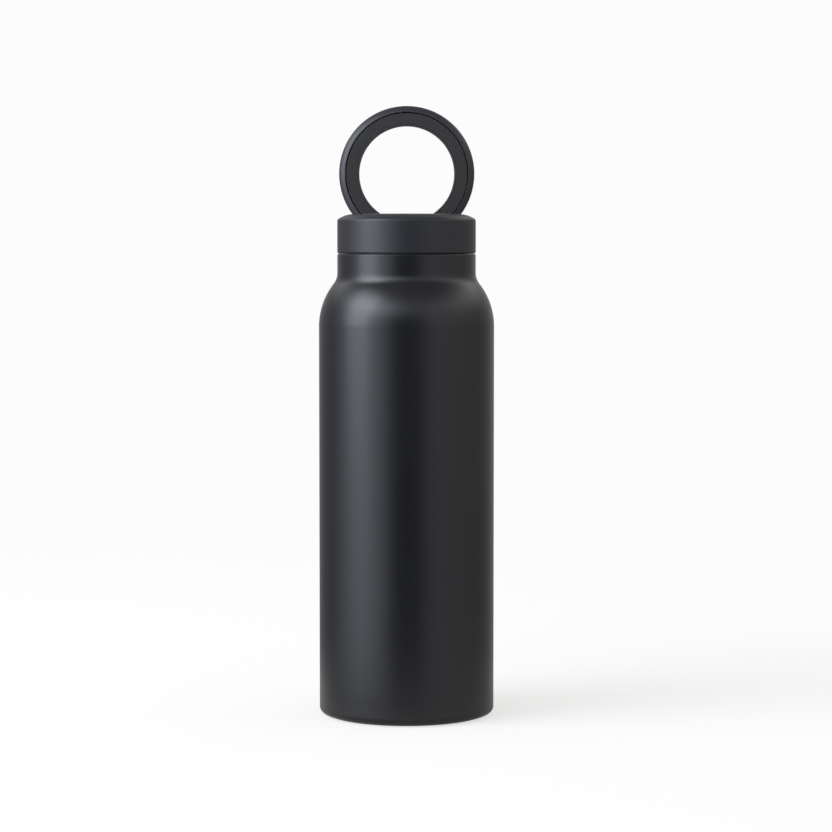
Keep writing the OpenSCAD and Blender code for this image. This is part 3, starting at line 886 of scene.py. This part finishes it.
class Look:
    """A material under construction: a Principled surface and helpers that add nodes to it."""

    def __init__(self, name, roughness=0.5, metallic=0.0):
        self.material = bpy.data.materials.new(name)
        self.material.use_nodes = True
        self.tree = self.material.node_tree
        self.surface = self.tree.nodes["Principled BSDF"]
        self.surface.inputs["Roughness"].default_value = roughness
        self.surface.inputs["Metallic"].default_value = metallic
        self.place = self.add("ShaderNodeTexCoord").outputs["Object"]
        self.height = None

    @classmethod
    def again(cls, material):
        """Goes on with a finished material."""
        look = cls.__new__(cls)
        look.material, look.tree = material, material.node_tree
        look.surface = look.tree.nodes["Principled BSDF"]
        return look

    def blend(self, factor, low, high):
        return self.add("ShaderNodeMix", {0: factor, 2: low, 3: high}).outputs[0]

    def add(self, kind, inputs=None, **settings):
        node = self.tree.nodes.new(kind)
        for key, value in settings.items():
            setattr(node, key, value)
        for key, value in (inputs or {}).items():
            self.feed(value, node.inputs[key])
        return node

    def feed(self, value, socket):
        if isinstance(value, bpy.types.NodeSocket):
            self.tree.links.new(value, socket)
        else:
            socket.default_value = value

    def math(self, operation, a, b=0.0):
        return self.add("ShaderNodeMath", {0: a, 1: b}, operation=operation).outputs[0]

    def noise(self, size_mm, detail=2.0, place=None, roughness=0.5):
        """Noise whose features are about size_mm wide, from 0 to 1."""
        inputs = {"Vector": place or self.place, "Scale": 1 / (size_mm * MM), "Detail": detail,
                  "Roughness": roughness}
        return self.add("ShaderNodeTexNoise", inputs).outputs["Fac"]

    def cells(self, size_mm, feature="F1"):
        inputs = {"Vector": self.place, "Scale": 1 / (size_mm * MM)}
        return self.add("ShaderNodeTexVoronoi", inputs, feature=feature).outputs["Distance"]

    def spun(self, stretch):
        """Coordinates in which a noise becomes fine lines round the Z axis."""
        parts = self.add("ShaderNodeSeparateXYZ", {0: self.place}).outputs
        squares = [self.math("MULTIPLY", part, part) for part in parts[:2]]
        radius = self.math("SQRT", self.math("ADD", *squares))
        angle = self.math("MULTIPLY", self.math("ARCTAN2", parts[1], parts[0]), stretch)
        return self.add("ShaderNodeCombineXYZ", {0: radius, 1: angle, 2: parts[2]}).outputs[0]

    def spread(self, value, low, high):
        """Maps 0 to 1 onto low to high."""
        return self.add("ShaderNodeMapRange", {"Value": value, "To Min": low, "To Max": high}).outputs[0]

    def share(self, value, low, high, **settings):
        """Maps low to high onto 0 to 1."""
        limits = {"Value": value, "From Min": low, "From Max": high}
        return self.add("ShaderNodeMapRange", limits, **settings).outputs[0]

    def colours(self, value, low, high):
        mix = self.add("ShaderNodeMix", {"Factor": value}, data_type="RGBA")
        self.feed((*low, 1), mix.inputs[6])
        self.feed((*high, 1), mix.inputs[7])
        return mix.outputs[2]

    def painted_edge_highlight(self, colour, edge_colour, low=0.52, high=0.62):
        """Paints edge_colour on sharp convex edges as a painted highlight."""
        point = self.add("ShaderNodeNewGeometry").outputs["Pointiness"]
        mix = self.add("ShaderNodeMix", {"Factor": self.share(point, low, high)}, data_type="RGBA")
        self.feed(colour, mix.inputs[6])
        self.feed((*edge_colour, 1), mix.inputs[7])
        return mix.outputs[2]

    def bump(self, value, depth_mm, strength=1.0):
        """Adds relief on top of the relief so far."""
        inputs = {"Height": value, "Distance": depth_mm * MM, "Strength": strength}
        if self.height is not None:
            inputs["Normal"] = self.height
        self.height = self.add("ShaderNodeBump", inputs).outputs["Normal"]

    def finish(self, colour, roughness=None, **extra):
        self.feed(colour, self.surface.inputs["Base Color"])
        if roughness is not None:
            self.feed(roughness, self.surface.inputs["Roughness"])
        for key, value in extra.items():
            self.feed(value, self.surface.inputs[key.replace("_", " ").title().replace("Ior", "IOR")])
        if self.height is not None:
            self.feed(self.height, self.surface.inputs["Normal"])
        return self.material


def grey(value, warmth=0.0):
    return (value * (1 + 0.65 * warmth), value * (1 + 0.35 * warmth), value * (1 - warmth))


def powder_coat(name, tone, roughness, relief):
    """Baked powder: a fine grain over a slow orange peel."""
    look = Look(name)
    grain = look.noise(0.32, detail=1.5)
    peel = look.noise(1.6, detail=1.0)
    drift = look.noise(35, detail=1.0)
    colour = look.colours(grain, grey(tone * 0.82, -0.15), grey(tone * 1.18, -0.15))
    # Painted highlight: sharp convex edges are lightened to 1.8 times the tone.
    colour = look.painted_edge_highlight(colour, grey(tone * 1.8))
    look.bump(peel, 0.012, 0.5)
    look.bump(grain, relief)
    fine = look.spread(grain, roughness - 0.05, roughness + 0.05)
    return look.finish(colour, look.math("ADD", fine, look.spread(drift, -0.015, 0.015)))


def ring_finish(name, tone, roughness, relief):
    """Powder coat that is matt on the ring's flat front face."""
    material = powder_coat(name, tone, roughness, relief)
    look = Look.again(material)
    facing = look.tree.nodes["Texture Coordinate"].outputs["Normal"]
    normal = look.add("ShaderNodeSeparateXYZ", {0: facing})
    front = look.share(normal.outputs[1], -0.97, -0.998)
    shiny = look.surface.inputs["Roughness"].links[0].from_socket
    look.feed(look.blend(front, shiny, MATT), look.surface.inputs["Roughness"])
    return material


def spun_steel(name, tone, roughness):
    """Steel with fine turning lines round the bottle's axis and faint clouds."""
    look = Look(name, metallic=1.0)
    lines = look.noise(0.09, detail=3.0, place=look.spun(0.0004))
    clouds = look.noise(14)
    look.bump(lines, 0.004, 0.6)
    fine = look.spread(lines, roughness - 0.06, roughness + 0.08)
    rough = look.math("ADD", fine, look.spread(clouds, -0.03, 0.03))
    return look.finish(look.colours(clouds, grey(tone * 0.94), grey(tone)), rough)


def plated(name, low, high, roughness, grain_mm=0.15):
    """A small metal part: tumbled grain and slight stain."""
    look = Look(name, metallic=1.0)
    grain = look.noise(grain_mm, detail=3.0)
    stain = look.noise(3)
    look.bump(grain, 0.006, 0.5)
    rough = look.spread(grain, roughness - 0.08, roughness + 0.1)
    return look.finish(look.colours(stain, low, high), rough)


def moulded(name, tone, roughness, grain_mm, relief, sheen=0.0):
    """Moulded plastic or rubber with a fine spark-eroded grain."""
    look = Look(name)
    grain = look.noise(grain_mm, detail=2.0)
    flow = look.noise(9)
    look.bump(grain, relief)
    # Painted highlight: sharp convex edges are lightened to 1.5 times the tone.
    colour = look.painted_edge_highlight(look.colours(flow, grey(tone * 0.88), grey(tone * 1.12)), grey(tone * 1.5))
    return look.finish(colour, look.spread(grain, roughness - 0.06, roughness + 0.06), sheen_weight=sheen)


def foam_look():
    look = Look("foam")
    pores = look.cells(0.5, "SMOOTH_F1")
    look.bump(pores, 0.12)
    colour = look.colours(pores, (0.62, 0.58, 0.47), (0.8, 0.77, 0.66))
    return look.finish(colour, look.spread(pores, 0.95, 0.75))


def foil_look():
    look = Look("copper", metallic=1.0)
    creases = look.cells(4.0, "DISTANCE_TO_EDGE")
    haze = look.noise(6)
    look.bump(look.noise(1.5), 0.05, 0.4)
    look.bump(creases, 0.08, 0.3)
    colour = look.colours(haze, (0.85, 0.42, 0.26), (0.93, 0.55, 0.37))
    return look.finish(colour, look.spread(haze, 0.22, 0.36))


def getter_look():
    look = Look("getter_metal", metallic=0.6)
    grit = look.cells(0.22)
    look.bump(grit, 0.05)
    colour = look.colours(grit, (0.16, 0.16, 0.17), (0.3, 0.3, 0.31))
    return look.finish(colour, look.spread(grit, 0.85, 0.65))


LOOKS = {
    "powder_coat": powder_coat("powder_coat", BODY_TONE, BODY_GLOSS, 0.008),
    "lid_coat": powder_coat("lid_coat", LID_TONE, LID_GLOSS, 0.010),
    "ring_coat": ring_finish("ring_coat", RING_TONE, LID_GLOSS, 0.010),
    "ring_face": moulded("ring_face", 0.022, MATT, 0.45, 0.05),
    "silicone": moulded("silicone", 0.028, 0.66, 0.25, 0.015, sheen=0.15),
    "plug_plastic": moulded("plug_plastic", 0.03, 0.42, 0.5, 0.015),
    "flask_steel": spun_steel("flask_steel", 0.62, 0.3),
    "fastener_steel": plated("fastener_steel", (0.5, 0.5, 0.5), (0.6, 0.6, 0.6), 0.28),
    "bracket_metal": plated("bracket_metal", (0.1, 0.1, 0.105), (0.14, 0.14, 0.145), 0.48),
    "bush_bronze": plated("bush_bronze", (0.55, 0.36, 0.15), (0.66, 0.45, 0.2), 0.4, 0.25),
    "copper": foil_look(),
    "getter_metal": getter_look(),
    "solder": plated("solder", (0.4, 0.4, 0.38), (0.55, 0.55, 0.53), 0.45, 0.4),
    "foam": foam_look(),
    "magnet_plating": plated("magnet_plating", (0.55, 0.53, 0.5), (0.62, 0.6, 0.57), 0.2, 0.12),
}


# ---------------------------------------------------------------- pieces

def screws_in_plug():
    return screw_set("plug_fixing_screws", SCREW_SPOTS, FLANGE_TOP - FLANGE_T, 9)


def lid_cap():
    return solid("lid_cap", lid_field, "lid_shell")


def plug_moulding():
    return solid("plug_moulding", plug_field, "plug_body")


def bracket():
    return solid("hinge_bracket_block", bracket_field, "hinge_bracket", CELL * 0.7)


def ring_body():
    return solid("ring_body", ring_field, "ring_frame")


def screws_in_bracket():
    low = BRACKET_LOW - 0.1 - LID_WALL_T
    return screw_set("bracket_fixing_screws", BRACKET_SPOTS, low, LID_WALL_T + 4.5)


def bushes():
    ends = (SLOT_HALF + 0.05, BRACKET_HALF - 0.1)
    return hinge_sleeves("hinge_bush_pair", PIN_R + 0.03, BUSH_R, *ends, 0.12)


def washers():
    ends = (LUG_HALF + 0.05, LUG_HALF + 0.55)
    return hinge_sleeves("friction_washer_pair", PIN_R + 0.05, WASHER_R, *ends, 0.1)


# Piece maker, CAD node it stands for, body it rides on, material slot
PIECES = [
    (body_wall, "outer_shell", "bottle", "powder_coat"),
    (base_ring, "outer_base", "bottle", "powder_coat"),
    (rubber_pad, "base_pad", "bottle", "silicone"),
    (flask, "inner_flask", "bottle", "flask_steel"),
    (foil, "copper_foil", "bottle", "copper"),
    (getter_disc, "getter", "bottle", "getter_metal"),
    (clip, "getter_clip", "bottle", "flask_steel"),
    (seal_bead, "port_seal", "bottle", "solder"),
    (gasket, "mouth_gasket", "seal", "silicone"),
    (lid_cap, "lid_shell", "lid", "lid_coat"),
    (plug_moulding, "plug_body", "lid", "plug_plastic"),
    (foam_core, "plug_foam", "lid", "foam"),
    (liner, "plug_liner", "lid", "flask_steel"),
    (screws_in_plug, "plug_screws", "lid", "fastener_steel"),
    (bracket, "hinge_bracket", "lid", "bracket_metal"),
    (screws_in_bracket, "bracket_screws", "lid", "fastener_steel"),
    (bushes, "hinge_bushes", "lid", "bush_bronze"),
    (washers, "friction_washers", "lid", "fastener_steel"),
    (pin, "hinge_pin", "ring", "fastener_steel"),
    (ring_body, "ring_frame", "ring", "ring_coat"),
    (cover, "ring_cover", "ring", "ring_face"),
    (magnets, "ring_magnets", "ring", "magnet_plating"),
    (yoke, "ring_yoke", "ring", "fastener_steel"),
    (phone_pad, "grip_pad", "ring", "silicone"),
]

for make, node, body, slot in PIECES:
    piece = make()
    piece.data.materials.append(LOOKS[slot])
    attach(piece, body)
    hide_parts(node)


# ---------------------------------------------------------------- floor, light and camera

def floor():
    """A wide pale disc of rings that widen outward."""
    rings = [0.0] + [0.02 * 1.35 ** i for i in range(19)]
    shape = bmesh.new()
    around = 96
    loops = []
    for radius in rings:
        count = 1 if radius == 0 else around
        turns = [2 * math.pi * i / count for i in range(count)]
        spots = [(radius * math.cos(turn), radius * math.sin(turn), FLOOR_Z) for turn in turns]
        loops.append([shape.verts.new(spot) for spot in spots])
    for inner, outer in zip(loops, loops[1:]):
        for i in range(around):
            k = (i + 1) % around
            if len(inner) == 1:
                shape.faces.new((inner[0], outer[i], outer[k]))
            else:
                shape.faces.new((inner[i], outer[i], outer[k], inner[k]))
    mesh = bpy.data.meshes.new("floor")
    shape.to_mesh(mesh)
    shape.free()
    obj = bpy.data.objects.new("floor", mesh)
    bpy.context.scene.collection.objects.link(obj)
    return obj


class Shader(Look):
    """Bare nodes for the floor and the world."""

    def __init__(self, owner):
        owner.use_nodes = True
        self.tree = owner.node_tree
        self.tree.nodes.clear()
        self.height = None
        self.eye = self.add("ShaderNodeLightPath").outputs["Is Camera Ray"]

    def mixed(self, factor, low, high):
        return self.add("ShaderNodeMixShader", {0: factor, 1: low.outputs[0], 2: high.outputs[0]})


def floor_look():
    """Only the camera sees the far floor. Light and reflections pass on to the room."""
    material = bpy.data.materials.new("floor")
    look = Shader(material)
    place = look.add("ShaderNodeTexCoord").outputs["Object"]
    grain = look.noise(0.8, place=place)
    shades = [grey(FLOOR_ALBEDO * share, FLOOR_WARMTH) for share in (0.985, 1.015)]
    paper = look.colours(grain, *shades)
    diffuse = look.add("ShaderNodeBsdfDiffuse", {"Color": paper})
    glow = look.add("ShaderNodeEmission", {"Strength": look.spread(look.eye, FLOOR_BOUNCE, FLOOR_GLOW)})
    near = look.add("ShaderNodeAddShader", {0: diffuse.outputs[0], 1: glow.outputs[0]})
    white = look.add("ShaderNodeEmission", {"Strength": BACKDROP})
    far = look.mixed(look.eye, look.add("ShaderNodeBsdfTransparent"), white)
    away = look.add("ShaderNodeVectorMath", {0: place}, operation="LENGTH").outputs["Value"]
    limits = [look.spread(look.eye, room, eye) for room, eye in zip(ROOM_FADE, EYE_FADE)]
    fade = look.share(away, *limits, interpolation_type="SMOOTHSTEP")
    look.add("ShaderNodeOutputMaterial", {"Surface": look.mixed(fade, near, far).outputs[0]})
    return material


def by_azimuth(look, around, levels):
    """Light that runs from level to level round the horizon: (degrees, brightness, blueness)."""
    ramp = look.add("ShaderNodeValToRGB", {0: around})
    stops = ramp.color_ramp.elements
    stops.remove(stops[1])
    for i, (degrees, value, blueness) in enumerate(levels):
        position = degrees / 360 + 0.5
        stop = stops[0] if i == 0 else stops.new(position)
        stop.position = position
        stop.color = (*grey(value, -blueness), 1)
    return look.add("ShaderNodeBackground", {"Color": ramp.outputs[0]})


def backdrop():
    """White to the camera. To everything else it is the room, whose brightness goes by direction."""
    world = bpy.data.worlds.new("studio")
    look = Shader(world)
    toward = look.add("ShaderNodeTexCoord").outputs["Generated"]
    parts = look.add("ShaderNodeSeparateXYZ", {0: toward}).outputs
    azimuth = look.math("ARCTAN2", parts[0], look.math("MULTIPLY", parts[1], -1.0))
    around = look.math("ADD", look.math("DIVIDE", azimuth, 2 * math.pi), 0.5)
    high = look.share(parts[2], *TOP_FADE)
    zenith = look.share(parts[2], *ZENITH_FADE)
    overhead = look.add("ShaderNodeBackground", {"Color": (*grey(ROOM_ZENITH), 1)})
    top = look.mixed(zenith, by_azimuth(look, around, ROOM_TOP), overhead)
    sides = by_azimuth(look, around, ROOM_SIDES)
    dimming = {"Value": parts[2], "From Min": ROOM_LOW[0], "From Max": ROOM_LOW[1], "To Min": ROOM_LOW[2]}
    look.feed(look.add("ShaderNodeMapRange", dimming).outputs[0], sides.inputs["Strength"])
    room = look.mixed(high, sides, top)
    white = look.add("ShaderNodeBackground", {"Color": (*grey(BACKDROP), 1)})
    look.add("ShaderNodeOutputWorld", {"Surface": look.mixed(look.eye, room, white).outputs[0]})
    bpy.context.scene.world = world


def aimed(obj, place, target):
    obj.location = place
    obj.rotation_euler = (Vector(target) - Vector(place)).to_track_quat("-Z", "Y").to_euler()
    bpy.context.scene.collection.objects.link(obj)
    return obj


def softbox(name, azimuth, distance, height, size, power, colour, target):
    """A rectangular light at an azimuth counted left from the camera's side."""
    light = bpy.data.lights.new(name, "AREA")
    light.shape = "RECTANGLE"
    light.size, light.size_y = size
    light.energy = power
    light.color = colour
    turn = math.radians(azimuth)
    place = (-distance * math.sin(turn), -distance * math.cos(turn), height)
    return aimed(bpy.data.objects.new(name, light), place, target)


floor().data.materials.append(floor_look())
backdrop()
softbox("key_light", 67, 1.3, 0.75, (0.9, 1.4), 12, (0.90, 0.93, 1.0), (0, 0, 0.12))

lens = bpy.data.cameras.new("camera")
lens.sensor_width = SENSOR_W
lens.lens = SENSOR_W * CAMERA_AWAY / FRAME_W
lens.clip_start = 0.01
camera = aimed(bpy.data.objects.new("camera", lens), (0, 0, 0), (0, 1, 0))
camera.location = (CAMERA_X, -CAMERA_AWAY, CAMERA_Z)
camera.rotation_euler = (math.radians(90 - CAMERA_TILT), 0, 0)
bpy.context.scene.camera = camera
bpy.context.scene.view_settings.view_transform = "Standard"
